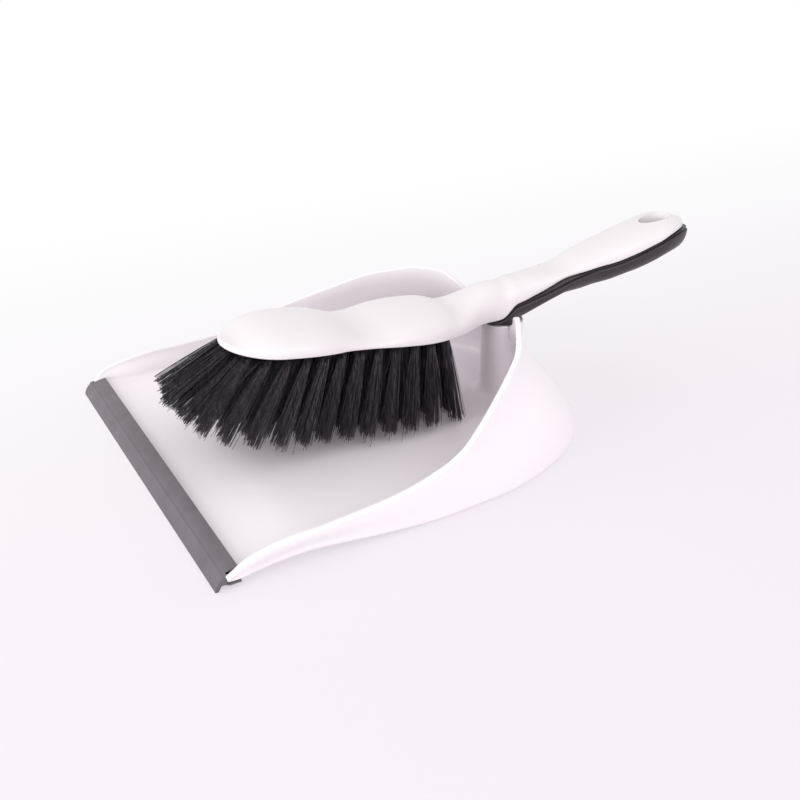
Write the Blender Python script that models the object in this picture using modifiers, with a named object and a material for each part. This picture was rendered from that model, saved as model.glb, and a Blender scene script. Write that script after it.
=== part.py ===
"""A dustpan with its hand brush stored on it. Metres, +Z up.

The origin lies on the floor, under the dustpan's flat underside and on its mirror plane.
+X runs from the lip to the end of the brush's handle, and the brush lifts off along +Z.
"""

import math

import bmesh
import bpy
import numpy as np
from mathutils import Matrix, Vector

# Clearances and overruns
GAP = 0.0003
OVERRUN = 0.004
MERGE = 0.00005
SHARP_ANGLE = math.radians(35)

# Dustpan
PAN_LENGTH = 0.239
REST_TO_LIP = 0.170
RIM_WIDTH = 0.225
WALL_LEAN = 0.006
SIDE_HEIGHT = 0.0192
BACK_HEIGHT = 0.0655
RIM_SETBACK = 0.0250
WALL = 0.0022
BASE_RADIUS = 0.0027
LIP_SEAT_HEIGHT = 0.0043
ARCH_HEIGHT = 0.0066
TIP_RUN = 0.0155
TIP_RISE = 0.0058

# Lip strip
LIP_INSET = 0.0011
LIP_DEPTH = 0.0125
LIP_JAW = 0.0022
LIP_SIDE_GAP = 0.0014

# Post on the back wall, and the peg in it
PEG_RADIUS = 0.0088
PEG_LENGTH = 0.018
PEG_CLEARANCE = 0.0006
PEG_BEVEL = 0.0012
POST_WALL = 0.0024
POST_SETBACK = 0.0245
POST_FOOT_RADIUS = 0.006
POCKET_DEPTH = 0.034
NECK_CLEARANCE = 0.0024
NOTCH_RADIUS = 0.004
SHOULDER_RADIUS = 0.0108
SHOULDER_HEIGHT = 0.0040
SEAT_DROP = 0.0008
TURNED_SIDES = 36
NOTCH_SEGMENTS = 3

# Brush
BLOCK_LENGTH = 0.127
BLOCK_WIDTH = 0.056
BLOCK_CROWN = 0.0143
NOSE_LENGTH = 0.026
NOSE_EDGE = 0.0030
NECK_LENGTH = 0.0414
GRIP_LENGTH = 0.1205
GRIP_WIDTH = 0.0316
GRIP_RISE = 0.0520
GRIP_CROWN = 0.0100
INSERT_DEPTH = 0.0120
INSERT_PROUD = 0.0015
INSERT_SWELL = 0.0036
INSERT_END = 0.0040
INSERT_WRAP_RISE = 0.0004
END_LENGTH = 0.025
TONGUE_LENGTH = 0.0185
STORED_PITCH = math.radians(6)
HOLE_LENGTH = 0.0205
HOLE_WIDTH = 0.0112
HOLE_FROM_END = 0.0233
HOLE_SIDES = 28

# Bristles and what they are set in
BLOCK_EDGE = 0.0030
PLATE_THICKNESS = 0.0026
PLATE_NOSE = 0.0050
PLATE_TAIL = 0.0015
BRISTLE_LENGTH = 0.0474
TIP_CLEARANCE = 0.0008
ROWS = 5
TUFTS_PER_ROW = 12
FIRST_TUFT = 0.0050
NOSE_STEP = 0.0025
STRANDS_ROUND_TUFT = 6
STRAND_SIDES = 3
TUFT_RADIUS = 0.00135
TUFT_SPREAD = 0.0033
STRAND_RADIUS = 0.0006
STRAND_TIP_RADIUS = 0.00085
STRAND_ROOT = 0.0008

# Dustpan outline, near half, from the lip to the middle of the back.
# Each row: rim x, rim y, side height and back rise, then base x, base y, lift from the floor.
pan_outline_shares = (
    (0.022, 0.995, 0.60, 0.00, 0.025, 1.040, 0.65),
    (0.050, 1.000, 0.68, 0.00, 0.055, 1.035, 0.52),
    (0.085, 0.997, 0.80, 0.00, 0.090, 1.018, 0.46),
    (0.130, 0.992, 0.91, 0.00, 0.135, 1.006, 0.55),
    (0.200, 0.992, 1.00, 0.00, 0.200, 1.003, 0.68),
    (0.260, 0.985, 1.00, 0.02, 0.265, 1.002, 0.54),
    (0.325, 0.977, 1.00, 0.05, 0.330, 1.000, 0.34),
    (0.395, 0.974, 1.00, 0.11, 0.405, 0.997, 0.16),
    (0.485, 0.965, 1.00, 0.25, 0.505, 0.985, 0.03),
    (0.535, 0.940, 1.00, 0.34, 0.570, 0.965, 0.00),
    (0.590, 0.880, 1.00, 0.47, 0.650, 0.940, 0.00),
    (0.655, 0.792, 1.00, 0.64, 0.730, 0.890, 0.00),
    (0.710, 0.708, 1.00, 0.78, 0.805, 0.815, 0.00),
    (0.760, 0.610, 1.00, 0.88, 0.862, 0.742, 0.00),
    (0.795, 0.500, 1.00, 0.97, 0.912, 0.648, 0.00),
    (0.830, 0.370, 1.00, 1.00, 0.956, 0.507, 0.00),
    (0.850, 0.290, 1.00, 0.91, 0.975, 0.404, 0.00),
    (0.870, 0.228, 1.00, 0.79, 0.987, 0.319, 0.00),
    (0.880, 0.180, 1.00, 0.70, 0.993, 0.249, 0.00),
    (0.890, 0.130, 1.00, 0.63, 0.997, 0.178, 0.00),
    (0.895, 0.090, 1.00, 0.60, 0.999, 0.122, 0.00),
    (0.895, 0.000, 1.00, 0.60, 1.000, 0.000, 0.00),
)
RIM_BACK_SHARE = 0.895
PAN_STATIONS = 30
WALL_STEPS = 6
BASE_STEPS = 3
FOOT_STEPS = 4
rim_drop_share = 0.40
base_flare_share = 0.34

# Lip strip profile: x in its depth, z in the height of its back edge.
lip_top_shares = ((0.0, 0.08), (0.06, 0.30), (0.17, 0.53), (0.34, 0.75), (0.62, 0.91), (0.96, 1.0))
lip_under_shares = ((0.12, 0.0), (0.25, 0.31), (0.40, 0.30), (0.54, 0.21), (1.0, 0.24))

# Block plan behind the nose: x in its length, half-width in half its width.
block_plan_shares = (
    (0.00, 0.90), (0.20, 0.95), (0.30, 0.98), (0.40, 0.96), (0.49, 0.89),
    (0.58, 0.90), (0.70, 0.96), (0.80, 0.98), (0.90, 0.93), (0.97, 0.81),
)
# Handle plan: x in the handle's length, half-width in half the grip's width.
handle_plan_shares = (
    (0.04, 1.20), (0.12, 0.88), (0.21, 0.77), (0.30, 0.74), (0.46, 0.74),
    (0.55, 0.83), (0.65, 0.93), (0.76, 1.01), (0.85, 1.00), (0.93, 0.96), (1.00, 0.93),
)
# Crown of the block: x in its length, height in its crown.
block_crown_shares = (
    (0.04, 0.22), (0.08, 0.45), (0.14, 0.67), (0.22, 0.79), (0.32, 0.83), (0.42, 0.76),
    (0.50, 0.56), (0.56, 0.39), (0.62, 0.45), (0.72, 0.73), (0.83, 0.88), (0.94, 0.94),
)
# Handle: x in its length, parting line in the rise, crown above the parting line in its crown.
handle_side_shares = (
    (0.02, 0.00, 1.10), (0.055, 0.01, 1.25), (0.10, 0.035, 1.46), (0.14, 0.05, 1.72),
    (0.18, 0.055, 1.88), (0.205, 0.065, 1.87), (0.22, 0.09, 1.75), (0.24, 0.165, 1.41),
    (0.255, 0.215, 1.20), (0.29, 0.25, 1.13), (0.32, 0.29, 1.03), (0.36, 0.34, 0.86),
    (0.40, 0.40, 0.62), (0.44, 0.46, 0.37), (0.48, 0.495, 0.44), (0.52, 0.525, 0.68),
    (0.575, 0.575, 0.80), (0.645, 0.625, 1.00), (0.715, 0.70, 1.00), (0.79, 0.79, 0.94),
    (0.83, 0.84, 0.89), (0.865, 0.89, 0.77), (0.90, 0.925, 0.69), (0.945, 0.945, 0.55),
    (0.975, 0.945, 0.42), (1.00, 0.925, 0.34),
)
# Insert: x in the handle's length, depth below the parting line in its depth.
insert_depth_shares = (
    (0.13, 0.05), (0.16, 0.21), (0.195, 0.55), (0.225, 0.81), (0.27, 0.98), (0.305, 0.96),
    (0.365, 0.81), (0.43, 0.78), (0.48, 0.90), (0.54, 1.02), (0.62, 1.07),
    (0.695, 1.10), (0.755, 1.20), (0.82, 1.26), (0.88, 1.28), (0.93, 1.24), (1.00, 1.05),
)
# Insert: x in the handle's length, share of its swell beyond the white moulding.
insert_swell_shares = (
    (0.28, 0.0), (0.34, 0.4), (0.39, 0.7), (0.43, 1.0), (0.47, 0.85), (0.51, 0.4), (0.56, 0.0),
)
tongue_plan_shares = ((0.0, 0.25), (0.2, 0.55), (0.5, 0.78), (0.8, 0.88), (1.0, 1.0))
SWELL_RISE_SHARE = 0.05
DOME_POWER_SHARE = 2.5
BELLY_POWER_SHARE = 2.3
BODY_STATIONS = 42
INSERT_STATIONS = 30
DOME_STEPS = 12
BELLY_STEPS = 10
PLATE_STATIONS = 14

# Bristle fan: x in the block's length, tilt towards the nose in degrees at the sides,
# what the middle adds to it, length share.
fan_shares = (
    (0.00, 41.0, 12.0, 0.93), (0.08, 41.5, 11.0, 0.98), (0.13, 41.0, 8.0, 1.06),
    (0.19, 37.5, 5.0, 1.05), (0.28, 28.5, 0.0, 1.05), (0.40, 20.0, 0.0, 1.04),
    (0.55, 13.0, 0.0, 1.04), (0.72, 6.5, 0.0, 1.02), (0.88, -1.5, 0.0, 1.00),
    (0.97, -12.0, 0.0, 1.02), (1.10, -15.0, 0.0, 1.02),
)
side_tilt_shares = ((0.0, 42.0), (0.15, 32.0), (0.4, 18.0), (1.0, 14.0))

BASE_WIDTH = RIM_WIDTH - 2 * WALL_LEAN
LIP_WIDTH = pan_outline_shares[0][5] * BASE_WIDTH - 2 * LIP_INSET
HANDLE_LENGTH = NECK_LENGTH + GRIP_LENGTH
BRUSH_LENGTH = BLOCK_LENGTH + HANDLE_LENGTH
PEG_X = BLOCK_LENGTH + NECK_LENGTH
POST_RADIUS = PEG_RADIUS + PEG_CLEARANCE + POST_WALL
POST_X = PAN_LENGTH - POST_SETBACK
LIP_BACK_HEIGHT = LIP_SEAT_HEIGHT + WALL + GAP + LIP_JAW


def clear_scene():
    for obj in list(bpy.data.objects):
        bpy.data.objects.remove(obj)


def new_collection(name):
    collection = bpy.data.collections.new(name)
    bpy.context.scene.collection.children.link(collection)
    return collection


def material(name, colour, roughness):
    made = bpy.data.materials.new(name)
    made.use_nodes = True
    shader = made.node_tree.nodes["Principled BSDF"]
    shader.inputs["Base Color"].default_value = (*colour, 1.0)
    shader.inputs["Roughness"].default_value = roughness
    return made


def empty(name, place, pitch=0.0, parent=None):
    made = bpy.data.objects.new(name, None)
    set_collection.objects.link(made)
    made.location = place
    made.rotation_euler = (0.0, pitch, 0.0)
    made.parent = parent
    return made


def piece(name, mesh, finish, parent):
    """A visible sub-part, in the parent's own frame."""
    obj = bpy.data.objects.new(name, mesh)
    set_collection.objects.link(obj)
    obj.parent = parent
    mesh.materials.append(finish)
    mesh.shade_smooth()
    mesh.set_sharp_from_angle(angle=SHARP_ANGLE)
    return obj


def cutter(name, mesh, parent):
    obj = bpy.data.objects.new(name, mesh)
    cutter_collection.objects.link(obj)
    obj.parent = parent
    obj.hide_render = True
    obj.display_type = "WIRE"
    return obj


def boolean(obj, other, operation):
    modifier = obj.modifiers.new(other.name, "BOOLEAN")
    modifier.operation = operation
    modifier.solver = "EXACT"
    modifier.object = other
    return modifier


def mesh_from(name, build):
    """A mesh that build(bm) fills."""
    bm = bmesh.new()
    build(bm)
    bmesh.ops.recalc_face_normals(bm, faces=bm.faces)
    mesh = bpy.data.meshes.new(name)
    bm.to_mesh(mesh)
    bm.free()
    return mesh


def smooth(points, x):
    """The height at x of a curve through points (x, height) that never overshoots them."""
    xs, ys = np.array(points, float).T
    steps = np.diff(xs)
    slopes = np.diff(ys) / steps
    turns = np.zeros(len(xs))
    turns[0], turns[-1] = slopes[0], slopes[-1]
    for i in range(1, len(xs) - 1):
        if slopes[i - 1] * slopes[i] > 0:
            w1 = 2 * steps[i] + steps[i - 1]
            w2 = steps[i] + 2 * steps[i - 1]
            turns[i] = (w1 + w2) / (w1 / slopes[i - 1] + w2 / slopes[i])
    x = min(max(x, xs[0]), xs[-1])
    i = min(max(int(np.searchsorted(xs, x)) - 1, 0), len(steps) - 1)
    t = (x - xs[i]) / steps[i]
    near, far = ys[i], ys[i + 1]
    return float(
        (1 + 2 * t) * (1 - t) ** 2 * near
        + t * (1 - t) ** 2 * steps[i] * turns[i]
        + t * t * (3 - 2 * t) * far
        - t * t * (1 - t) * steps[i] * turns[i + 1]
    )


def along(rows, count):
    """count rows read evenly, by the length of the first two columns, from a curve through rows."""
    rows = np.array(rows, float)
    steps = np.linalg.norm(np.diff(rows[:, :2], axis=0), axis=1)
    place = np.concatenate([[0.0], np.cumsum(steps)])
    wanted = np.linspace(0.0, place[-1], count)
    columns = [[smooth(list(zip(place, column)), at) for at in wanted] for column in rows.T]
    return np.array(columns).T


def loft(bm, rings, capped=True):
    """Faces between rings of points that match one by one, with the first and last ring filled."""
    made = [[bm.verts.new(point) for point in ring] for ring in rings]
    for ring, following in zip(made[:-1], made[1:]):
        for i in range(len(ring)):
            j = (i + 1) % len(ring)
            bm.faces.new((ring[i], ring[j], following[j], following[i]))
    if capped:
        bm.faces.new(made[0])
        bm.faces.new(list(reversed(made[-1])))


def outline_prism(name, points, across, parent, finish=None):
    """A flat outline in the XZ plane, as a 2D curve extruded to width across about Y = 0."""
    curve = bpy.data.curves.new(name, "CURVE")
    curve.dimensions = "2D"
    curve.fill_mode = "BOTH"
    curve.extrude = across / 2
    spline = curve.splines.new("POLY")
    spline.points.add(len(points) - 1)
    for point, (x, z) in zip(spline.points, points):
        point.co = (x, z, 0.0, 1.0)
    spline.use_cyclic_u = True
    guide = bpy.data.objects.new(name + "_outline", curve)
    cutter_collection.objects.link(guide)
    guide.matrix_world = Matrix.Rotation(math.radians(90), 4, "X")
    bpy.context.view_layer.update()
    seen = guide.evaluated_get(bpy.context.evaluated_depsgraph_get())
    mesh = bpy.data.meshes.new_from_object(seen)
    mesh.transform(guide.matrix_world)
    bpy.data.objects.remove(guide)
    bm = bmesh.new()
    bm.from_mesh(mesh)
    bmesh.ops.remove_doubles(bm, verts=bm.verts, dist=MERGE)
    bmesh.ops.recalc_face_normals(bm, faces=bm.faces)
    bm.to_mesh(mesh)
    bm.free()
    mesh.name = name
    if finish is None:
        return cutter(name, mesh, parent)
    return piece(name, mesh, finish, parent)


def box_mesh(name, low, high):
    def build(bm):
        size = Vector(high) - Vector(low)
        place = Matrix.Translation((Vector(low) + Vector(high)) / 2)
        bmesh.ops.create_cube(bm, size=1.0, matrix=place @ Matrix.Diagonal((*size, 1.0)))
    return mesh_from(name, build)


# Dustpan shell

def pan_station(row):
    """Outer points of one station of the near half, from the rim down and under to the mirror plane."""
    rim_x, rim_y, side, rise, base_x, base_y, lift = row
    rim = Vector((
        rim_x * (PAN_LENGTH - RIM_SETBACK) / RIM_BACK_SHARE,
        -rim_y * RIM_WIDTH / 2,
        side * SIDE_HEIGHT + rise * (BACK_HEIGHT - SIDE_HEIGHT),
    ))
    base = Vector((base_x * PAN_LENGTH, -base_y * BASE_WIDTH / 2, lift * ARCH_HEIGHT))
    height = rim.z - base.z
    inward = (Vector((PAN_LENGTH / 2, 0.0, 0.0)) - base) * Vector((1.0, 1.0, 0.0))
    turned = min(base_x / RIM_BACK_SHARE, 1.0) ** 2
    inward = Vector((0.0, 1.0, 0.0)).lerp(inward.normalized(), turned)
    foot = base + Vector((0.0, 0.0, BASE_RADIUS))
    over = rim - Vector((0.0, 0.0, rim_drop_share * height))
    under = foot + Vector((0.0, 0.0, base_flare_share * height))
    points = []
    for k in range(WALL_STEPS + 1):
        t = k / WALL_STEPS
        points.append(
            (1 - t) ** 3 * rim + 3 * t * (1 - t) ** 2 * over + 3 * t * t * (1 - t) * under + t ** 3 * foot
        )
    for k in range(1, BASE_STEPS + 1):
        turn = math.pi / 2 * k / BASE_STEPS
        points.append(
            foot + inward * BASE_RADIUS * (1 - math.cos(turn))
            - Vector((0.0, 0.0, BASE_RADIUS * math.sin(turn)))
        )
    return points


def pan_surface(bm):
    """The outer surface of the near half, open at the rim, the front edge and the mirror plane."""
    stations = [pan_station(row) for row in along(pan_outline_shares, PAN_STATIONS)]
    grid = [[bm.verts.new(point) for point in station] for station in stations]
    for vert in grid[-1]:
        vert.co.y = 0.0
    middle = []
    for station in grid[:-1]:
        last = station[-1].co
        middle.append(bm.verts.new((last.x, 0.0, last.z)))
    middle.append(grid[-1][-1])
    for i in range(len(grid) - 1):
        for j in range(len(grid[i]) - 1):
            bm.faces.new((grid[i][j], grid[i][j + 1], grid[i + 1][j + 1], grid[i + 1][j]))
        ends = [grid[i][-1], middle[i], middle[i + 1], grid[i + 1][-1]]
        bm.faces.new(ends if i < len(grid) - 2 else ends[:3])


def dustpan_shell(post_top):
    mesh = mesh_from("dustpan_shell", pan_surface)
    lowest = min(mesh.polygons, key=lambda face: face.center.z)
    if lowest.normal.z > 0:
        mesh.flip_normals()
    obj = piece("dustpan_shell", mesh, white_shell, pan_frame)
    mirror = obj.modifiers.new("halves", "MIRROR")
    mirror.use_axis = (False, True, False)
    mirror.merge_threshold = MERGE
    wall = obj.modifiers.new("wall", "SOLIDIFY")
    wall.thickness = WALL
    wall.offset = -1.0
    wall.use_even_offset = True
    post_mesh = mesh_from("post", lambda bm: post(bm, post_top))
    boolean(obj, cutter("post", post_mesh, pan_frame), "UNION")
    bore_mesh = mesh_from("post_bore", lambda bm: post_bore(bm, post_top))
    boolean(obj, cutter("post_bore", bore_mesh, pan_frame), "DIFFERENCE")
    boolean(obj, neck_notch(post_top), "DIFFERENCE")
    boolean(obj, front_trim(), "DIFFERENCE")
    return obj


def post(bm, post_top):
    """The upright post, with a hollow curve where it meets the floor."""
    foot = WALL - GAP
    profile = [(POST_RADIUS + POST_FOOT_RADIUS, WALL / 2), (POST_RADIUS + POST_FOOT_RADIUS, foot)]
    for k in range(1, FOOT_STEPS + 1):
        turn = math.pi / 2 * k / FOOT_STEPS
        profile.append((
            POST_RADIUS + POST_FOOT_RADIUS * (1 - math.sin(turn)),
            foot + POST_FOOT_RADIUS * (1 - math.cos(turn)),
        ))
    profile.append((POST_RADIUS, post_top))
    lathe(bm, profile, POST_X)


def post_bore(bm, post_top):
    """The pocket in the post that takes the brush's peg."""
    radius = PEG_RADIUS + PEG_CLEARANCE
    pocket_floor = max(post_top - POCKET_DEPTH, 2 * WALL)
    lathe(bm, ((radius, pocket_floor), (radius, post_top + OVERRUN)), POST_X)


def neck_notch(post_top):
    """Cuts the rim down to the post's top, wide enough for the brush's neck."""
    half = max(half_width(PEG_X) + INSERT_PROUD + NECK_CLEARANCE, POST_RADIUS)
    low = (POST_X - RIM_SETBACK, -half, post_top)
    high = (PAN_LENGTH + OVERRUN, half, post_top + BACK_HEIGHT)
    obj = cutter("neck_notch", box_mesh("neck_notch", low, high), pan_frame)
    bevel = obj.modifiers.new("corners", "BEVEL")
    bevel.width = min(NOTCH_RADIUS, half / 2)
    bevel.segments = NOTCH_SEGMENTS
    bevel.limit_method = "ANGLE"
    return obj


def front_trim():
    """Slopes the front of the side walls down to the lip."""
    front = pan_outline_shares[0][4] * PAN_LENGTH
    low = LIP_SEAT_HEIGHT + WALL
    slope_end = front + TIP_RUN
    points = (
        (front - OVERRUN, low + GAP),
        (front + GAP, low + GAP),
        (front + TIP_RUN / 2, low + TIP_RISE),
        (slope_end, SIDE_HEIGHT),
        (slope_end, SIDE_HEIGHT + OVERRUN),
        (front - OVERRUN, SIDE_HEIGHT + OVERRUN),
    )
    return outline_prism("front_trim", points, RIM_WIDTH + OVERRUN, pan_frame)


def floor_height(x):
    """Height of the floor's underside at x behind the lip."""
    points = [(row[4] * PAN_LENGTH, row[6] * ARCH_HEIGHT) for row in pan_outline_shares]
    return smooth(points, x)


def lip_strip():
    """The push-on strip: blade in front, and a slot that takes the floor's front edge."""
    front = pan_outline_shares[0][4] * PAN_LENGTH - GAP
    front_low = LIP_SEAT_HEIGHT - GAP
    back_low = floor_height(LIP_DEPTH) - GAP
    slot_height = WALL + 2 * GAP
    top = [(x * LIP_DEPTH, z * LIP_BACK_HEIGHT) for x, z in lip_top_shares]
    under = [(x * LIP_DEPTH, z * LIP_BACK_HEIGHT) for x, z in reversed(lip_under_shares)]
    slot = [
        (LIP_DEPTH, front_low + slot_height + LIP_JAW / 2), (LIP_DEPTH, back_low + slot_height),
        (front, front_low + slot_height), (front, front_low), (LIP_DEPTH, back_low),
    ]
    obj = outline_prism("lip_strip", [(0.0, 0.0), *top, *slot, *under], LIP_WIDTH, pan_frame, dark_rubber)
    inside = pan_outline_shares[0][5] * BASE_WIDTH / 2 - WALL - LIP_SIDE_GAP
    for side in (-1, 1):
        low = (front, min(side * inside, side * RIM_WIDTH), back_low - GAP)
        high = (LIP_DEPTH + OVERRUN, max(side * inside, side * RIM_WIDTH), BACK_HEIGHT)
        name = "lip_end_near" if side < 0 else "lip_end_far"
        boolean(obj, cutter(name, box_mesh(name, low, high), pan_frame), "DIFFERENCE")
    return obj


# Brush outlines, in the brush's own frame: x from the nose, z from the block's underside

def round_end(x, length):
    """1 away from an end, falling to 0 on a quarter ellipse over its last stretch."""
    inside = min(max(x / length, 0.0), 1.0)
    return math.sqrt(1 - (1 - inside) ** 2)


def half_width(x):
    points = [(a * BLOCK_LENGTH, b * BLOCK_WIDTH / 2) for a, b in block_plan_shares]
    points += [(BLOCK_LENGTH + a * HANDLE_LENGTH, b * GRIP_WIDTH / 2) for a, b in handle_plan_shares]
    return smooth(points, x)


def parting(x):
    """Height of the flat underside of the white moulding."""
    points = [(0.0, 0.0), (BLOCK_LENGTH, 0.0)]
    points += [(BLOCK_LENGTH + a * HANDLE_LENGTH, b * GRIP_RISE) for a, b, c in handle_side_shares]
    return smooth(points, x)


def crown(x):
    """Height of the white moulding above its underside."""
    points = [(0.0, NOSE_EDGE)]
    points += [(a * BLOCK_LENGTH, b * BLOCK_CROWN) for a, b in block_crown_shares]
    points += [(BLOCK_LENGTH + a * HANDLE_LENGTH, c * GRIP_CROWN) for a, b, c in handle_side_shares]
    return smooth(points, x)


def stations(start, end, count, crowd_start, crowd_end):
    """Places along x, closer together at an end that is rounded."""
    made = []
    for k in range(count):
        t = k / (count - 1)
        if crowd_start and crowd_end:
            t = (1 - math.cos(math.pi * t)) / 2
        elif crowd_end:
            t = math.sin(math.pi / 2 * t)
        made.append(start + (end - start) * t)
    return made


def half_round(half, low, height, power, steps, down=False):
    """Points over a flat base from one side to the other; they turn with a superellipse."""
    points = []
    for k in range(steps + 1):
        turn = math.pi * k / steps
        y = -math.copysign(abs(math.cos(turn)) ** (2 / power), math.cos(turn))
        z = math.sin(turn) ** (2 / power) if 0 < k < steps else 0.0
        points.append((half * y, low - height * z if down else low + height * z))
    return points


def body_rings(clearance):
    """Rings of the white moulding, grown by clearance on every side."""
    end = BRUSH_LENGTH - INSERT_END
    rings = []
    first = GAP / 3
    for x in stations(first, end - first, BODY_STATIONS, True, True):
        rounding = round_end(x, NOSE_LENGTH) * round_end(end - x, END_LENGTH)
        half = half_width(x) * rounding + clearance
        low = parting(x) - clearance
        nose = round_end(x, NOSE_LENGTH)
        tail = round_end(end - x, END_LENGTH)
        height = NOSE_EDGE + (crown(x) - NOSE_EDGE) * nose * (1 + tail) / 2 + 2 * clearance
        grown = clearance * (2 * (x - first) / (end - 2 * first) - 1)
        section = half_round(half, low, height, DOME_POWER_SHARE, DOME_STEPS)
        rings.append([(x + grown, y, z) for y, z in section])
    return rings


def brush_body(hole):
    mesh = mesh_from("brush_body", lambda bm: loft(bm, body_rings(0.0)))
    obj = piece("brush_body", mesh, white_brush, brush_frame)
    rings = plate_rings(0, ROWS, -GAP, PLATE_THICKNESS + GAP, -OVERRUN)
    recess = mesh_from("plate_recess", lambda bm: loft(bm, rings))
    boolean(obj, cutter("plate_recess", recess, brush_frame), "DIFFERENCE")
    boolean(obj, hole, "DIFFERENCE")
    return obj


def hanging_hole():
    """An oval through the end of the handle."""
    centre = BRUSH_LENGTH - HOLE_FROM_END
    low = parting(centre) - INSERT_DEPTH * 2
    high = parting(centre) + GRIP_CROWN * 2

    def build(bm):
        place = Matrix.Translation((centre, 0.0, (low + high) / 2))
        oval = Matrix.Diagonal((HOLE_LENGTH / HOLE_WIDTH, 1.0, 1.0, 1.0))
        bmesh.ops.create_cone(
            bm, cap_ends=True, segments=HOLE_SIDES, radius1=HOLE_WIDTH / 2,
            radius2=HOLE_WIDTH / 2, depth=high - low, matrix=place @ oval,
        )
    return cutter("hanging_hole", mesh_from("hanging_hole", build), brush_frame)


# Grip insert

def insert_rings():
    """Rings of the soft insert under the handle, whose rim turns up round the handle's end."""
    start = BLOCK_LENGTH + insert_depth_shares[0][0] * HANDLE_LENGTH
    white_end = BRUSH_LENGTH - INSERT_END
    depths = [(BLOCK_LENGTH + a * HANDLE_LENGTH, b * INSERT_DEPTH) for a, b in insert_depth_shares]
    swells = [(BLOCK_LENGTH + a * HANDLE_LENGTH, b * INSERT_SWELL) for a, b in insert_swell_shares]
    rings = []
    for x in stations(start, BRUSH_LENGTH - GAP, INSERT_STATIONS, False, True):
        tongue = smooth(tongue_plan_shares, (x - start) / TONGUE_LENGTH)
        swell = smooth(swells, x)
        rounding = round_end(BRUSH_LENGTH - x, END_LENGTH)
        half = (half_width(x) + INSERT_PROUD + swell) * tongue * rounding
        low = parting(x) - GAP
        turned_up = max(0.0, (x - (white_end - END_LENGTH / 2)) / (END_LENGTH / 2 + INSERT_END))
        top = low + SWELL_RISE_SHARE * swell + INSERT_WRAP_RISE * min(turned_up, 1.0) ** 2
        seat = (x - PEG_X) * math.tan(STORED_PITCH) - SEAT_DROP
        depth = smooth(depths, x) * (1 + round_end(BRUSH_LENGTH - x, END_LENGTH / 2)) / 2
        depth = min(depth, low - seat)
        section = half_round(half, low, depth, BELLY_POWER_SHARE, BELLY_STEPS, True)
        rings.append([(x, -half, top), *[(x, y, z) for y, z in section], (x, half, top)])
    return rings


def grip_insert(hole):
    mesh = mesh_from("grip_insert", lambda bm: loft(bm, insert_rings()))
    obj = piece("grip_insert", mesh, dark_grip, brush_frame)
    boolean(obj, cutter("peg", mesh_from("peg", peg), lift_axis), "UNION")
    room = mesh_from("handle_room", lambda bm: loft(bm, body_rings(GAP)))
    boolean(obj, cutter("handle_room", room, brush_frame), "DIFFERENCE")
    boolean(obj, hole, "DIFFERENCE")
    return obj


def lathe(bm, profile, centre_x):
    """A turned solid from (radius, height) points, upright at centre_x."""
    rings = []
    turns = [2 * math.pi * k / TURNED_SIDES for k in range(TURNED_SIDES)]
    for radius, height in profile:
        rings.append([
            (centre_x + radius * math.cos(turn), radius * math.sin(turn), height) for turn in turns
        ])
    loft(bm, rings)


def peg(bm):
    """The upright peg and the shoulder that rests on the post, about the lift axis."""
    profile = (
        (PEG_RADIUS - PEG_BEVEL, -SEAT_DROP - PEG_LENGTH),
        (PEG_RADIUS, -SEAT_DROP - PEG_LENGTH + PEG_BEVEL),
        (PEG_RADIUS, -SEAT_DROP),
        (SHOULDER_RADIUS, -SEAT_DROP),
        (SHOULDER_RADIUS, -SEAT_DROP + SHOULDER_HEIGHT),
    )
    lathe(bm, profile, 0.0)


# Bristles, in their backing slices

def plate_half(x):
    """Half-width of the recess in the block's underside."""
    return half_width(x) * round_end(x, NOSE_LENGTH) - BLOCK_EDGE


def plate_rings(first_row, past_row, inset, top, bottom):
    """Rings of the backing from one row's edge to another's, inset from its neighbours."""
    rings = []
    start = PLATE_NOSE + inset
    end = BLOCK_LENGTH - PLATE_TAIL - inset
    for x in stations(start, end, PLATE_STATIONS, False, False):
        half = plate_half(x)
        left = -half + 2 * half * first_row / ROWS + inset
        right = -half + 2 * half * past_row / ROWS - inset
        rings.append([(x, left, top), (x, left, bottom), (x, right, bottom), (x, right, top)])
    return rings


def tuft_places(row):
    """Root centres of one row's tufts; every other row is shifted by half a pitch."""
    across = 2 * (row + 0.5) / ROWS - 1
    first = PLATE_NOSE + FIRST_TUFT + NOSE_STEP * across ** 2
    last = BLOCK_LENGTH - PLATE_TAIL - 2 * TUFT_RADIUS
    pitch = (last - first) / (TUFTS_PER_ROW - 1)
    places = []
    count = TUFTS_PER_ROW if row % 2 == 0 else TUFTS_PER_ROW - 1
    for k in range(count):
        x = first + pitch * (k + 0.5 * (row % 2))
        places.append((x, plate_half(x) * across))
    return places


def forward_tilt(x, y):
    share = x / BLOCK_LENGTH
    sides = smooth([(a, b) for a, b, c, d in fan_shares], share)
    middle = smooth([(a, c) for a, b, c, d in fan_shares], share)
    return math.radians(sides + middle * (1 - (y / plate_half(x)) ** 2))


def strand_end(x, y, out_x, out_y):
    """Tip of a strand whose root stands at x, y, and which leaves its tuft's axis by out_x, out_y."""
    share = x / BLOCK_LENGTH
    tilt = forward_tilt(x, y)
    length = BRISTLE_LENGTH * smooth([(a, d) for a, b, c, d in fan_shares], share)
    sideways = math.tan(math.radians(smooth(side_tilt_shares, share))) * 2 * y / BLOCK_WIDTH
    along_tilt = Vector((-math.sin(tilt), sideways * math.cos(tilt / 2), -math.cos(tilt))).normalized()
    spread = Vector((out_x * math.cos(tilt), out_y, -out_x * math.sin(tilt)))
    return Vector((x, y, 0.0)) + along_tilt * length + spread


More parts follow.
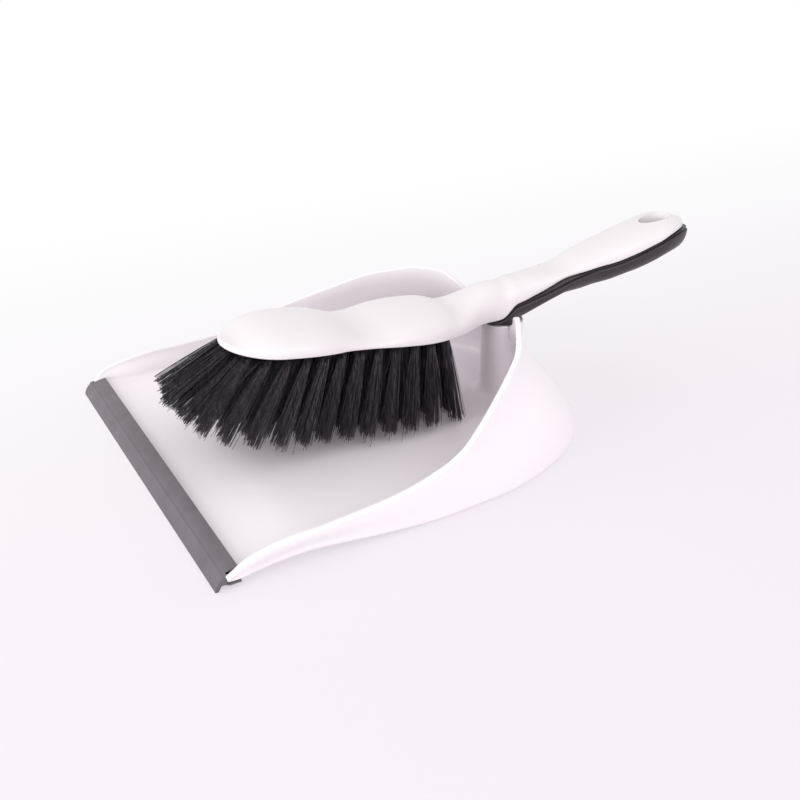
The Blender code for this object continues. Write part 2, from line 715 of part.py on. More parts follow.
def tuft_strands(x, y):
    """Root and tip of each strand of a tuft: one in the middle and the others in a ring."""
    strands = [(Vector((x, y, 0.0)), strand_end(x, y, 0.0, 0.0))]
    tilt = forward_tilt(x, y)
    for k in range(STRANDS_ROUND_TUFT):
        turn = 2 * math.pi * k / STRANDS_ROUND_TUFT
        round_x, round_y = math.cos(turn), math.sin(turn)
        root = Vector((x + TUFT_RADIUS * round_x / math.cos(tilt), y + TUFT_RADIUS * round_y, 0.0))
        strands.append((root, strand_end(x, y, TUFT_SPREAD * round_x, TUFT_SPREAD * round_y)))
    return strands


def add_strand(bm, root, tip):
    """A thin cone from inside the backing to the tip."""
    run = tip - root
    start = root - run * (STRAND_ROOT / run.length)
    whole = tip - start
    place = Matrix.Translation((start + tip) / 2) @ whole.to_track_quat("Z", "Y").to_matrix().to_4x4()
    bmesh.ops.create_cone(
        bm, cap_ends=True, segments=STRAND_SIDES, radius1=STRAND_RADIUS, radius2=STRAND_TIP_RADIUS,
        depth=whole.length, matrix=place,
    )


def bristle_row(row):
    name = "bristle_row_" + str(row + 1)
    rings = plate_rings(row, row + 1, GAP / 2, PLATE_THICKNESS, 0.0)
    obj = piece(name, mesh_from(name, lambda bm: loft(bm, rings)), black_bristle, brush_frame)

    def build_strands(bm):
        for x, y in tuft_places(row):
            for root, tip in tuft_strands(x, y):
                add_strand(bm, root, tip)

    strand_mesh = mesh_from(name + "_strands", build_strands)
    boolean(obj, cutter(name + "_strands", strand_mesh, brush_frame), "UNION")
    return obj


def stored_height():
    """Height of the brush frame over the floor, so that the lowest tip just clears the dustpan."""
    drop = Matrix.Rotation(STORED_PITCH, 4, "Y")
    lowest = 0.0
    for row in range(ROWS):
        for x, y in tuft_places(row):
            for root, tip in tuft_strands(x, y):
                seen = drop @ Vector((tip.x - PEG_X, tip.y, tip.z))
                lowest = min(lowest, seen.z)
    return WALL + TIP_CLEARANCE + STRAND_TIP_RADIUS - lowest


clear_scene()
set_collection = new_collection("dustpan_and_brush")
cutter_collection = new_collection("cutters")
white_shell = material("white_shell", (0.86, 0.84, 0.86), 0.32)
white_brush = material("white_brush", (0.90, 0.88, 0.88), 0.28)
dark_rubber = material("dark_rubber", (0.13, 0.12, 0.13), 0.55)
dark_grip = material("dark_grip", (0.06, 0.055, 0.06), 0.45)
black_bristle = material("black_bristle", (0.02, 0.02, 0.022), 0.5)

pan_frame = empty("pan_frame", (-REST_TO_LIP, 0.0, 0.0))
lift_axis = empty("lift_axis", (POST_X, 0.0, stored_height()), parent=pan_frame)
brush_tilt = empty("brush_tilt", (0.0, 0.0, 0.0), STORED_PITCH, lift_axis)
brush_frame = empty("brush_frame", (-PEG_X, 0.0, 0.0), parent=brush_tilt)
bpy.context.view_layer.update()

dustpan_shell(stored_height() - SEAT_DROP - GAP)
lip_strip()
through_handle = hanging_hole()
brush_body(through_handle)
grip_insert(through_handle)
for row_number in range(ROWS):
    bristle_row(row_number)
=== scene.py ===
"""The looks of the dustpan and its hand brush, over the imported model. Metres, +Z up.

Finer meshes of the same sizes stand for the solids. Outline positions are shares of the named sizes.
"""

import math
import random

import bmesh
import bpy
import numpy as np
from mathutils import Matrix, Vector


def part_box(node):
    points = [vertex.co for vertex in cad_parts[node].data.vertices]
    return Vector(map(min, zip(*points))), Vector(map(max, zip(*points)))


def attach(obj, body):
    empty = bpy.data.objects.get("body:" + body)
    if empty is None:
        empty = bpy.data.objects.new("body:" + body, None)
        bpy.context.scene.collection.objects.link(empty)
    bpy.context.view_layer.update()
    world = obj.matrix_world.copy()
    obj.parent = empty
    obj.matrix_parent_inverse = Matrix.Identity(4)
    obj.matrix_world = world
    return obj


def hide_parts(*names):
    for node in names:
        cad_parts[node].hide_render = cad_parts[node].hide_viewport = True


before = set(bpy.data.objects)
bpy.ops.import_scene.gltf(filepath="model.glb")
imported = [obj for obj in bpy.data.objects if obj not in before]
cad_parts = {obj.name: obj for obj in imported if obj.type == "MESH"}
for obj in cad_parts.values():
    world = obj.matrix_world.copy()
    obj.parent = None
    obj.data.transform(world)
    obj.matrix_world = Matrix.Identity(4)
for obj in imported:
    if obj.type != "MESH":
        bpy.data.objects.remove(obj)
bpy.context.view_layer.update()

# Clearances
GAP = 0.0003
OVERRUN = 0.004
MERGE = 0.000005

# Dustpan
PAN_LENGTH = 0.239
REST_TO_LIP = 0.170
RIM_WIDTH = 0.225
WALL_LEAN = 0.006
SIDE_HEIGHT = 0.0192
BACK_HEIGHT = 0.0655
RIM_SETBACK = 0.0250
WALL = 0.0022
BASE_RADIUS = 0.0027
LIP_SEAT_HEIGHT = 0.0043
ARCH_HEIGHT = 0.0066
TIP_RUN = 0.0155
TIP_RISE = 0.0064
RIM_WALL = 0.0030
RIM_BEAD = 0.011
RIM_ROUNDING = 0.0008
TIP_RADIUS = 0.0009
FLOOR_FILLET_SIDE = 0.0030
FLOOR_FILLET_BACK = 0.0080
FILLET_GROWS_SHARE = 0.45
FILLET_FULL_SHARE = 0.85

# Lip strip
LIP_INSET = 0.0011
LIP_DEPTH = 0.0125
LIP_JAW = 0.0022
LIP_SIDE_GAP = 0.0014
LIP_EDGE = 0.00035
LIP_BEAD = 0.0004
LIP_BEAD_SHARE = 0.30
LIP_BEAD_REACH_SHARE = 0.045

# Post and peg
PEG_RADIUS = 0.0088
PEG_LENGTH = 0.018
PEG_CLEARANCE = 0.0006
PEG_BEVEL = 0.0012
POST_WALL = 0.0024
POST_SETBACK = 0.0245
POST_FOOT_RADIUS = 0.006
POST_EDGE = 0.0006
POCKET_DEPTH = 0.034
SHOULDER_RADIUS = 0.0108
SHOULDER_HEIGHT = 0.0040
SEAT_DROP = 0.0008
DIP_INNER = 0.0155
DIP_OUTER = 0.030

# Brush
BLOCK_LENGTH = 0.127
BLOCK_WIDTH = 0.056
BLOCK_CROWN = 0.0143
NOSE_LENGTH = 0.026
NOSE_EDGE = 0.0030
NECK_LENGTH = 0.0414
GRIP_LENGTH = 0.1205
GRIP_WIDTH = 0.0316
GRIP_RISE = 0.0520
GRIP_CROWN = 0.0100
INSERT_DEPTH = 0.0120
INSERT_PROUD = 0.0015
INSERT_SWELL = 0.0036
INSERT_END = 0.0040
INSERT_WRAP_RISE = 0.0004
INSERT_EDGE = 0.0008
GROOVE_DEPTH = 0.0016
GROOVE_HEIGHT = 0.0012
END_LENGTH = 0.025
TONGUE_LENGTH = 0.0185
STORED_PITCH = math.radians(6)
HOLE_LENGTH = 0.0205
HOLE_WIDTH = 0.0112
HOLE_FROM_END = 0.0233
HOLE_EDGE = 0.0009
BODY_EDGE = 0.0007
SOFTENING = 0.0022

# Bristles
BLOCK_EDGE = 0.0030
PLATE_NOSE = 0.0050
PLATE_TAIL = 0.0015
BRISTLE_LENGTH = 0.0474
ROWS = 5
TUFTS_PER_ROW = 12
INNER_TUFTS_PER_ROW = 17
FILAMENTS = 96
FIRST_TUFT = 0.0042
NOSE_STEP = 0.0025
TUFT_RADIUS = 0.0021
TUFT_SPREAD = 0.0036
OUTER_TUFT_RADIUS = 0.0016
OUTER_TUFT_SPREAD = 0.0043
FILAMENT_RADIUS = 0.00021
FILAMENT_ROOT = 0.0008
FILAMENT_SEGMENTS = 5
FILAMENT_TAPER_SHARE = 0.35
TURN_SCATTER = 0.3
LENGTH_SCATTER = 0.0007
BEND_SCATTER = 0.0008
STRAY_SHARE = 0.012
STRAY_BEND = 0.004
FLOOR_CLEARANCE = 0.0004
TRIM_SHARE = 0.97

# Mesh fineness
PAN_STATIONS = 260
WALL_STEPS = 24
ARC_STEPS = 5
FILLET_STEPS = 8
FOOT_STEPS = 10
TURNED_SIDES = 96
BODY_STATIONS = 210
DOME_STEPS = 40
INSERT_STATIONS = 170
BELLY_STEPS = 30
HOLE_SIDES = 72
CURVE_SAMPLES = 600
PAN_SOFTENING = 6
LIP_STEPS = 60
LIP_BEVEL_STEPS = 3

# Angles in degrees from which an edge stays sharp, or is bevelled
PAN_SHARP = 42
LIP_SHARP = 30
LIP_BEVELLED = 40
BRUSH_SHARP = 40

# Dustpan outline, near half, from the lip to the middle of the back.
# Each row: rim x, rim y, side height and back rise, then base x, base y, lift from the floor.
pan_outline_shares = (
    (0.022, 0.995, 0.60, 0.00, 0.025, 1.040, 0.65),
    (0.050, 1.000, 0.68, 0.00, 0.055, 1.035, 0.52),
    (0.085, 0.997, 0.80, 0.00, 0.090, 1.018, 0.46),
    (0.130, 0.992, 0.91, 0.00, 0.135, 1.006, 0.55),
    (0.200, 0.992, 1.00, 0.00, 0.200, 1.003, 0.68),
    (0.260, 0.985, 1.00, 0.02, 0.265, 1.002, 0.54),
    (0.325, 0.977, 1.00, 0.05, 0.330, 1.000, 0.34),
    (0.395, 0.974, 1.00, 0.11, 0.405, 0.997, 0.16),
    (0.485, 0.965, 1.00, 0.25, 0.505, 0.985, 0.03),
    (0.535, 0.940, 1.00, 0.34, 0.570, 0.965, 0.00),
    (0.590, 0.880, 1.00, 0.47, 0.650, 0.940, 0.00),
    (0.655, 0.792, 1.00, 0.64, 0.730, 0.890, 0.00),
    (0.710, 0.708, 1.00, 0.78, 0.805, 0.815, 0.00),
    (0.760, 0.610, 1.00, 0.88, 0.862, 0.742, 0.00),
    (0.795, 0.500, 1.00, 0.97, 0.912, 0.648, 0.00),
    (0.830, 0.370, 1.00, 1.00, 0.956, 0.507, 0.00),
    (0.850, 0.290, 1.00, 0.91, 0.975, 0.404, 0.00),
    (0.870, 0.228, 1.00, 0.79, 0.987, 0.319, 0.00),
    (0.880, 0.180, 1.00, 0.70, 0.993, 0.249, 0.00),
    (0.890, 0.130, 1.00, 0.63, 0.997, 0.178, 0.00),
    (0.895, 0.090, 1.00, 0.60, 0.999, 0.122, 0.00),
    (0.895, 0.000, 1.00, 0.60, 1.000, 0.000, 0.00),
)
RIM_BACK_SHARE = 0.895
rim_drop_share = 0.40
base_flare_share = 0.34

lip_top_shares = ((0.0, 0.08), (0.06, 0.30), (0.17, 0.53), (0.34, 0.75), (0.62, 0.91), (0.96, 1.0))
lip_under_shares = ((0.12, 0.0), (0.25, 0.31), (0.40, 0.30), (0.54, 0.21), (1.0, 0.24))

block_plan_shares = (
    (0.00, 0.90), (0.20, 0.95), (0.30, 0.98), (0.40, 0.96), (0.49, 0.89),
    (0.58, 0.90), (0.70, 0.96), (0.80, 0.98), (0.90, 0.93), (0.97, 0.81),
)
handle_plan_shares = (
    (0.04, 1.20), (0.12, 0.88), (0.21, 0.77), (0.30, 0.74), (0.46, 0.74),
    (0.55, 0.83), (0.65, 0.93), (0.76, 1.01), (0.85, 1.00), (0.93, 0.96), (1.00, 0.93),
)
block_crown_shares = (
    (0.04, 0.22), (0.08, 0.45), (0.14, 0.67), (0.22, 0.79), (0.32, 0.83), (0.42, 0.76),
    (0.50, 0.56), (0.56, 0.39), (0.62, 0.45), (0.72, 0.73), (0.83, 0.88), (0.94, 0.94),
)
# Handle: x in its length, parting line in the rise, crown above the parting line in its crown.
handle_side_shares = (
    (0.02, 0.00, 1.10), (0.055, 0.01, 1.25), (0.10, 0.035, 1.46), (0.14, 0.05, 1.72),
    (0.18, 0.055, 1.88), (0.205, 0.065, 1.87), (0.22, 0.09, 1.75), (0.24, 0.165, 1.41),
    (0.255, 0.215, 1.20), (0.29, 0.25, 1.13), (0.32, 0.29, 1.03), (0.36, 0.34, 0.86),
    (0.40, 0.40, 0.62), (0.44, 0.46, 0.37), (0.48, 0.495, 0.44), (0.52, 0.525, 0.68),
    (0.575, 0.575, 0.80), (0.645, 0.625, 1.00), (0.715, 0.70, 1.00), (0.79, 0.79, 0.94),
    (0.83, 0.84, 0.89), (0.865, 0.89, 0.77), (0.90, 0.925, 0.69), (0.945, 0.945, 0.55),
    (0.975, 0.945, 0.42), (1.00, 0.925, 0.34),
)
insert_depth_shares = (
    (0.13, 0.05), (0.16, 0.21), (0.195, 0.55), (0.225, 0.81), (0.27, 0.98), (0.305, 0.96),
    (0.365, 0.81), (0.43, 0.78), (0.48, 0.90), (0.54, 1.02), (0.62, 1.07),
    (0.695, 1.10), (0.755, 1.20), (0.82, 1.26), (0.88, 1.28), (0.93, 1.24), (1.00, 1.05),
)
insert_swell_shares = (
    (0.28, 0.0), (0.34, 0.4), (0.39, 0.7), (0.43, 1.0), (0.47, 0.85), (0.51, 0.4), (0.56, 0.0),
)
tongue_plan_shares = ((0.0, 0.25), (0.2, 0.55), (0.5, 0.78), (0.8, 0.88), (1.0, 1.0))
SWELL_RISE_SHARE = 0.05
DOME_POWER_SHARE = 2.5
BELLY_POWER_SHARE = 2.3

# Bristle fan: x in the block's length, tilt towards the nose in degrees at the sides,
# what the middle adds to it, length share.
fan_shares = (
    (0.00, 41.0, 12.0, 0.93), (0.08, 41.5, 11.0, 0.98), (0.13, 41.0, 8.0, 1.06),
    (0.19, 37.5, 5.0, 1.05), (0.28, 28.5, 0.0, 1.05), (0.40, 20.0, 0.0, 1.04),
    (0.55, 13.0, 0.0, 1.04), (0.72, 6.5, 0.0, 1.02), (0.88, -1.5, 0.0, 1.00),
    (0.97, -12.0, 0.0, 1.02), (1.10, -15.0, 0.0, 1.02),
)
side_tilt_shares = ((0.0, 42.0), (0.15, 32.0), (0.4, 18.0), (1.0, 14.0))

BASE_WIDTH = RIM_WIDTH - 2 * WALL_LEAN
LIP_WIDTH = pan_outline_shares[0][5] * BASE_WIDTH - 2 * LIP_INSET
HANDLE_LENGTH = NECK_LENGTH + GRIP_LENGTH
BRUSH_LENGTH = BLOCK_LENGTH + HANDLE_LENGTH
PEG_X = BLOCK_LENGTH + NECK_LENGTH
POST_RADIUS = PEG_RADIUS + PEG_CLEARANCE + POST_WALL
POST_X = PAN_LENGTH - POST_SETBACK
LIP_BACK_HEIGHT = LIP_SEAT_HEIGHT + WALL + GAP + LIP_JAW
LIP_FRONT = pan_outline_shares[0][4] * PAN_LENGTH

# The stored brush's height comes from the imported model: its peg's lower end is the insert's lowest point.
STORED_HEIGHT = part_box("grip_insert")[0][2] + SEAT_DROP + PEG_LENGTH
POST_TOP = STORED_HEIGHT - SEAT_DROP - GAP

pan_place = Matrix.Translation((-REST_TO_LIP, 0.0, 0.0))
lift_place = pan_place @ Matrix.Translation((POST_X, 0.0, STORED_HEIGHT))
brush_place = (
    lift_place @ Matrix.Rotation(STORED_PITCH, 4, "Y") @ Matrix.Translation((-PEG_X, 0.0, 0.0))
)
up = np.array((0.0, 0.0, 1.0))


# Curves

def smooth(points, x):
    """The height at x of a curve through points (x, height) that never overshoots them."""
    xs, ys = np.array(points, float).T
    steps = np.diff(xs)
    slopes = np.diff(ys) / steps
    turns = np.zeros(len(xs))
    turns[0], turns[-1] = slopes[0], slopes[-1]
    for i in range(1, len(xs) - 1):
        if slopes[i - 1] * slopes[i] > 0:
            w1 = 2 * steps[i] + steps[i - 1]
            w2 = steps[i] + 2 * steps[i - 1]
            turns[i] = (w1 + w2) / (w1 / slopes[i - 1] + w2 / slopes[i])
    x = np.clip(x, xs[0], xs[-1])
    i = np.clip(np.searchsorted(xs, x) - 1, 0, len(steps) - 1)
    t = (x - xs[i]) / steps[i]
    return (
        (1 + 2 * t) * (1 - t) ** 2 * ys[i]
        + t * (1 - t) ** 2 * steps[i] * turns[i]
        + t * t * (3 - 2 * t) * ys[i + 1]
        - t * t * (1 - t) * steps[i] * turns[i + 1]
    )


def softened_curve(points, start, end, reach):
    """A function of x: the curve through points, rounded off over reach."""
    places = np.linspace(start, end, CURVE_SAMPLES)
    heights = smooth(points, places)
    width = reach / (places[1] - places[0])
    offsets = np.arange(-int(3 * width), int(3 * width) + 1)
    weights = np.exp(-0.5 * (offsets / width) ** 2)
    padded = np.pad(heights, len(offsets) // 2, mode="reflect", reflect_type="odd")
    rounded = np.convolve(padded, weights / weights.sum(), "valid")
    return lambda x: np.interp(x, places, rounded)


def along(rows, count):
    """count rows read evenly, by the length of the first two columns, from a curve through rows."""
    rows = np.array(rows, float)
    steps = np.linalg.norm(np.diff(rows[:, :2], axis=0), axis=1)
    place = np.concatenate([[0.0], np.cumsum(steps)])
    wanted = np.linspace(0.0, place[-1], count)
    return np.stack([smooth(list(zip(place, column)), wanted) for column in rows.T], axis=1)


def ease(x, start, end):
    """0 before start, 1 after end, and a soft step between them."""
    t = np.clip((x - start) / (end - start), 0.0, 1.0)
    return t * t * (3 - 2 * t)


def unit(vectors):
    return vectors / np.linalg.norm(vectors, axis=-1, keepdims=True)


# Meshes

def new_object(name, mesh, material, place, body):
    """A shown piece that rides on a body, with its mesh moved to its place."""
    mesh.transform(place)
    obj = bpy.data.objects.new(name, mesh)
    bpy.context.scene.collection.objects.link(obj)
    mesh.materials.clear()
    mesh.materials.append(material)
    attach(obj, body)
    return obj


def mesh_from(name, build):
    """A mesh that build(bm) fills."""
    bm = bmesh.new()
    build(bm)
    bmesh.ops.remove_doubles(bm, verts=bm.verts, dist=MERGE)
    bmesh.ops.recalc_face_normals(bm, faces=bm.faces)
    mesh = bpy.data.meshes.new(name)
    bm.to_mesh(mesh)
    bm.free()
    return mesh


def loft(bm, rings):
    """A closed skin over rings of points that match one by one."""
    made = [[bm.verts.new(point) for point in ring] for ring in rings]
    for ring, following in zip(made[:-1], made[1:]):
        for i in range(len(ring)):
            j = (i + 1) % len(ring)
            bm.faces.new((ring[i], ring[j], following[j], following[i]))
    bm.faces.new(made[0])
    bm.faces.new(list(reversed(made[-1])))


def lathe(bm, profile, centre_x):
    """A turned solid from (radius, height) points, upright at centre_x."""
    turns = [2 * math.pi * k / TURNED_SIDES for k in range(TURNED_SIDES)]
    loft(bm, [
        [(centre_x + radius * math.cos(turn), radius * math.sin(turn), height) for turn in turns]
        for radius, height in profile
    ])


def cut_and_joined(mesh, *steps):
    """mesh after each (operation, other mesh), as a new mesh."""
    obj = bpy.data.objects.new("worked", mesh)
    bpy.context.scene.collection.objects.link(obj)
    helpers = []
    for operation, other in steps:
        helper = bpy.data.objects.new("helper", other)
        bpy.context.scene.collection.objects.link(helper)
        helpers.append(helper)
        modifier = obj.modifiers.new("step", "BOOLEAN")
        modifier.operation = operation
        modifier.solver = "EXACT"
        modifier.object = helper
    made = settled(obj)
    for helper in helpers:
        bpy.data.objects.remove(helper)
    return made


def settled(obj):
    """The mesh that obj's modifiers give; obj is removed."""
    bpy.context.view_layer.update()
    seen = obj.evaluated_get(bpy.context.evaluated_depsgraph_get())
    mesh = bpy.data.meshes.new_from_object(seen)
    bpy.data.objects.remove(obj)
    return mesh


def bevelled(mesh, width, segments, angle):
    """mesh with its sharp edges rounded."""
    obj = bpy.data.objects.new("worked", mesh)
    bpy.context.scene.collection.objects.link(obj)
    bevel = obj.modifiers.new("edges", "BEVEL")
    bevel.width = width
    bevel.segments = segments
    bevel.limit_method = "ANGLE"
    bevel.angle_limit = math.radians(angle)
    return settled(obj)


def shaded(mesh, angle):
    """Smooth shading that keeps edges sharper than angle."""
    mesh.shade_smooth()
    mesh.set_sharp_from_angle(angle=math.radians(angle))
    return mesh


# Dustpan

def pan_rows():
    """The outline's rows, read finely and softened where its curves meet."""
    rows = along(pan_outline_shares, PAN_STATIONS)
    for _ in range(PAN_SOFTENING):
        rows[1:-1] = (rows[:-2] + 2 * rows[1:-1] + rows[2:]) / 4
    return rows


def rim_heights(rows, rim_y):
    """Rim height at each station: sloping down to the lip, and level with the post at the back."""
    heights = rows[:, 2] * SIDE_HEIGHT + rows[:, 3] * (BACK_HEIGHT - SIDE_HEIGHT)
    near_post = 1 - ease(np.abs(rim_y), DIP_INNER, DIP_OUTER)
    heights = heights - near_post * (heights[-1] - POST_TOP)
    low = LIP_SEAT_HEIGHT + TIP_RADIUS + 2 * RIM_ROUNDING
    slope = (
        (LIP_FRONT, low), (LIP_FRONT + TIP_RUN / 2, LIP_SEAT_HEIGHT + WALL + TIP_RISE),
        (LIP_FRONT + TIP_RUN, SIDE_HEIGHT), (LIP_FRONT + 2 * TIP_RUN, 2 * BACK_HEIGHT),
    )
    ramp = smooth(slope, rows[:, 4] * PAN_LENGTH)
    return -RIM_ROUNDING * np.logaddexp(-heights / RIM_ROUNDING, -ramp / RIM_ROUNDING)


def pan_sections():
    """Points of each station of the near half: under the floor, up the wall, over the rim, back inside."""
    rows = pan_rows()
    rim_y = -rows[:, 1] * RIM_WIDTH / 2
    rim_x = rows[:, 0] * (PAN_LENGTH - RIM_SETBACK) / RIM_BACK_SHARE
    top = rim_heights(rows, rim_y) - RIM_ROUNDING
    rim = np.stack([rim_x, rim_y, top], axis=1)
    lift = rows[:, 6] * ARCH_HEIGHT
    base_x = rows[:, 4] * PAN_LENGTH
    radius = TIP_RADIUS + (BASE_RADIUS - TIP_RADIUS) * ease(base_x, LIP_FRONT, LIP_FRONT + TIP_RUN)
    foot = np.stack([base_x, -rows[:, 5] * BASE_WIDTH / 2, lift + radius], axis=1)
    height = (rim - foot)[:, 2:]
    over = rim - rim_drop_share * height * up
    under = foot + base_flare_share * height * up
    t = np.linspace(0.0, 1.0, WALL_STEPS + 1)[None, :, None]
    wall = (
        (1 - t) ** 3 * rim[:, None] + 3 * t * (1 - t) ** 2 * over[:, None]
        + 3 * t * t * (1 - t) * under[:, None] + t ** 3 * foot[:, None]
    )
    inward = np.cross(np.gradient(wall, axis=0), np.gradient(wall, axis=1))
    inward[-1, :, 1] = 0.0
    inward = unit(inward)
    if inward[len(inward) // 2, 0, 1] < 0:
        inward = -inward
    flat = unit(inward[:, -1] * np.array((1.0, 1.0, 0.0)))
    bead = 1 - ease(wall[:, :1, 2:] - wall[:, :, 2:], RIM_BEAD / 4, RIM_BEAD)
    inside = wall + inward * (WALL + (RIM_WALL - WALL) * bead)
    floor_top = lift + WALL
    back = ease(rows[:, 4], FILLET_GROWS_SHARE, FILLET_FULL_SHARE)
    fillet = FLOOR_FILLET_SIDE + back * (FLOOR_FILLET_BACK - FLOOR_FILLET_SIDE)
    fillet = np.minimum(fillet, (inside[:, 0, 2] - floor_top) / 2)
    inner_wall = []
    for points, low in zip(inside, floor_top + fillet):
        wanted = np.linspace(points[0, 2], low, WALL_STEPS + 1)
        rising = points[::-1]
        inner_wall.append(np.stack([
            np.interp(wanted, rising[:, 2], rising[:, 0]),
            np.interp(wanted, rising[:, 2], rising[:, 1]), wanted,
        ], axis=1))
    inner_wall = np.array(inner_wall)
    corner = foot + flat * WALL
    corner[:, 2] = floor_top
    ending = corner + flat * fillet[:, None]
    t = np.linspace(0.0, 1.0, FILLET_STEPS + 1)[None, 1:, None]
    curve = (
        (1 - t) ** 2 * inner_wall[:, -1][:, None] + 2 * t * (1 - t) * corner[:, None]
        + t * t * ending[:, None]
    )
    return np.concatenate([
        floor_line(foot + flat * radius[:, None], lift)[:, ::-1], foot_arc(foot, flat, radius),
        wall[:, ::-1], rim_arcs(wall, inside, inward), inner_wall, curve,
        floor_line(ending, floor_top)[:, 1:],
    ], axis=1)


def floor_line(edge, height):
    """From a station's floor edge straight across to the mirror plane."""
    end = edge.copy()
    end[:, 2] = height
    middle = end.copy()
    middle[:, 1] = 0.0
    shares = np.linspace(0.0, 1.0, ARC_STEPS)[None, :, None]
    return end[:, None] * (1 - shares) + middle[:, None] * shares


def foot_arc(foot, flat, radius):
    """The rounded outer corner between floor and wall."""
    radius = radius[:, None, None]
    centre = foot[:, None] + flat[:, None] * radius
    turn = np.linspace(math.pi / 2, 0.0, ARC_STEPS + 1)[None, 1:-1, None]
    return centre - radius * (np.cos(turn) * flat[:, None] + np.sin(turn) * up)


def rim_arcs(wall, inside, inward):
    """Both rounded corners of the rim."""
    rise = unit(wall[:, 0] - wall[:, 1])[:, None]
    across = inward[:, :1]
    turn = np.linspace(0.0, math.pi / 2, ARC_STEPS + 1)[None, 1:, None]
    outer = wall[:, :1] + RIM_ROUNDING * (across * (1 - np.cos(turn)) + rise * np.sin(turn))
    inner = inside[:, :1] - RIM_ROUNDING * (across * (1 - np.cos(turn)) - rise * np.sin(turn))
    return np.concatenate([outer, inner[:, ::-1]], axis=1)


def half_pan(bm):
    sections = pan_sections()
    made = [[bm.verts.new(point) for point in section] for section in sections]
    for section, following in zip(made[:-1], made[1:]):
        for j in range(len(section) - 1):
            bm.faces.new((section[j], section[j + 1], following[j + 1], following[j]))
    bm.faces.new(made[0])


def post(bm):
    """The upright post: a hollow curve at its foot and a rounded top edge."""
    foot = WALL - GAP
    outside = POST_RADIUS + POST_FOOT_RADIUS
    profile = [(outside, WALL / 2), (outside, foot)]
    for k in range(1, FOOT_STEPS + 1):
        turn = math.pi / 2 * k / FOOT_STEPS
        profile.append((outside - POST_FOOT_RADIUS * math.sin(turn),
                        foot + POST_FOOT_RADIUS * (1 - math.cos(turn))))
    for k in range(ARC_STEPS + 1):
        turn = math.pi / 2 * k / ARC_STEPS
        profile.append((POST_RADIUS - POST_EDGE * (1 - math.cos(turn)),
                        POST_TOP - POST_EDGE * (1 - math.sin(turn))))
    lathe(bm, profile, POST_X)


def post_bore(bm):
    """The pocket in the post, with a rounded mouth."""
    radius = PEG_RADIUS + PEG_CLEARANCE
    profile = [(radius, POST_TOP - POCKET_DEPTH)]
    for k in range(ARC_STEPS + 1):
        turn = math.pi / 2 * k / ARC_STEPS
        profile.append((radius + POST_EDGE * (1 - math.cos(turn)),
                        POST_TOP - POST_EDGE * (1 - math.sin(turn))))
    profile.append((radius + POST_EDGE, POST_TOP + OVERRUN))
    lathe(bm, profile, POST_X)


def dustpan(material):
    half = mesh_from("half_pan", half_pan)
    obj = bpy.data.objects.new("worked", half)
    bpy.context.scene.collection.objects.link(obj)
    mirror = obj.modifiers.new("halves", "MIRROR")
    mirror.use_axis = (False, True, False)
    mirror.merge_threshold = MERGE
    whole = settled(obj)
    bm = bmesh.new()
    bm.from_mesh(whole)
    bmesh.ops.recalc_face_normals(bm, faces=bm.faces)
    bm.to_mesh(whole)
    bm.free()
    mesh = cut_and_joined(
        whole, ("UNION", mesh_from("post", post)), ("DIFFERENCE", mesh_from("post_bore", post_bore))
    )
    made = new_object("dustpan_moulding", shaded(mesh, PAN_SHARP), material, pan_place, "dustpan")
    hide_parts("dustpan_shell")
    return made


# Lip

def floor_height(x):
    points = [(row[4] * PAN_LENGTH, row[6] * ARCH_HEIGHT) for row in pan_outline_shares]
    return float(smooth(points, x))


def lip_profile():
    """Outline of the strip in its X and Z."""
    front = LIP_FRONT - GAP
    front_low = LIP_SEAT_HEIGHT - GAP
    back_low = floor_height(LIP_DEPTH) - GAP
    slot_height = WALL + 2 * GAP
    places = np.linspace(0.0, lip_top_shares[-1][0], LIP_STEPS)
    beads = LIP_BEAD * np.exp(-((places - LIP_BEAD_SHARE) / LIP_BEAD_REACH_SHARE) ** 2)
    top = [
        (x * LIP_DEPTH, smooth(lip_top_shares, x) * LIP_BACK_HEIGHT + bead) for x, bead in zip(places, beads)
    ]
    under = [(x * LIP_DEPTH, z * LIP_BACK_HEIGHT) for x, z in reversed(lip_under_shares)]
    slot = [
        (LIP_DEPTH, front_low + slot_height + LIP_JAW / 2), (LIP_DEPTH, back_low + slot_height),
        (front, front_low + slot_height), (front, front_low), (LIP_DEPTH, back_low),
    ]
    return [(0.0, 0.0), *top, *slot, *under]


def box(low, high):
    def build(bm):
        size = Vector(high) - Vector(low)
        place = Matrix.Translation((Vector(low) + Vector(high)) / 2)
        bmesh.ops.create_cube(bm, size=1.0, matrix=place @ Matrix.Diagonal((*size, 1.0)))
    return mesh_from("box", build)


def lip(material):
    outline = lip_profile()

    def build(bm):
        loft(bm, [[(x, y, z) for x, z in outline] for y in (-LIP_WIDTH / 2, LIP_WIDTH / 2)])
    inside = pan_outline_shares[0][5] * BASE_WIDTH / 2 - WALL - LIP_SIDE_GAP
    low = floor_height(LIP_DEPTH) - 2 * GAP
    ends = []
    for side in (-1, 1):
        near, far = sorted((side * inside, side * RIM_WIDTH))
        cut = box((LIP_FRONT - GAP, near, low), (LIP_DEPTH + OVERRUN, far, BACK_HEIGHT))
        ends.append(("DIFFERENCE", cut))
    mesh = cut_and_joined(mesh_from("lip", build), *ends)
    mesh = bevelled(mesh, LIP_EDGE, LIP_BEVEL_STEPS, LIP_BEVELLED)
    made = new_object("lip", shaded(mesh, LIP_SHARP), material, pan_place, "dustpan")
    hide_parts("lip_strip")
    return made


# Brush

def along_brush(block_points, handle_points, reach):
    """A softened curve along the brush from points on the block and on the handle."""
    points = [*block_points, *((BLOCK_LENGTH + a * HANDLE_LENGTH, b) for a, b in handle_points)]
    return softened_curve(points, 0.0, BRUSH_LENGTH, reach)


